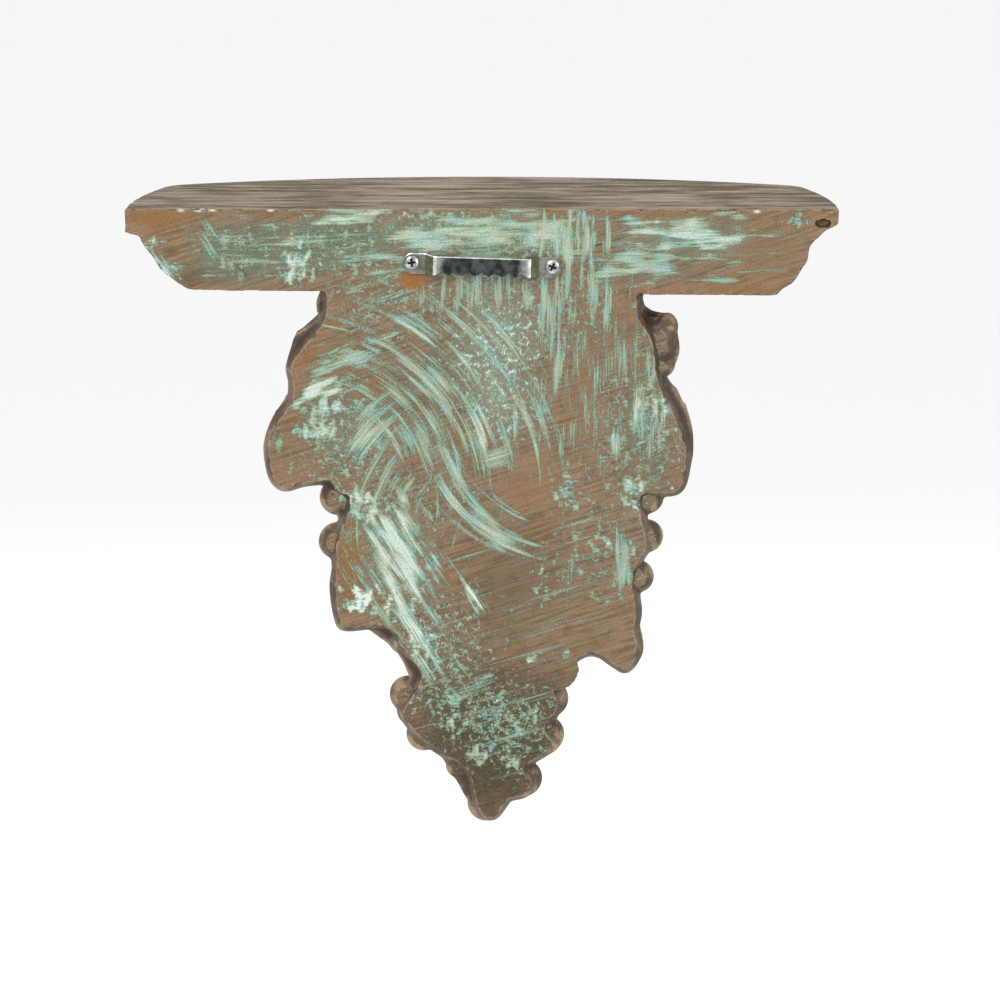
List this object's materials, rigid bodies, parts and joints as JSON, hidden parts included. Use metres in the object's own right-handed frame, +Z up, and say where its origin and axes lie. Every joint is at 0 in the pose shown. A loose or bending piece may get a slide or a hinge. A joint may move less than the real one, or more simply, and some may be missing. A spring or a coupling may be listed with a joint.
{
  "type": "corbel shelf",
  "caption": "Wall shelf cast in one piece with a bracket of vine leaves and grapes, and a saw-tooth hanger on its flat back.",
  "frame": {"origin": "point under the hanger's middle notch, on the plane of the flat back", "axes": "+Y out of the flat back towards the wall, +Z up, +X along the shelf, to the left of someone who looks at the back"},
  "size_m": [0.3, 0.1293, 0.2643],
  "materials": {
    "painted_casting": "cast composite painted brown, with turquoise and sage green dry-brushed over it and white chips",
    "hanger_steel": "bright plated sheet",
    "screw_steel": "bright plated"
  },
  "bodies": {
    "root": {"corbel_shelf": "painted_casting", "saw_tooth_hanger": "hanger_steel", "hanger_screw_left": "screw_steel", "hanger_screw_right": "screw_steel"}
  },
  "joints": []
}
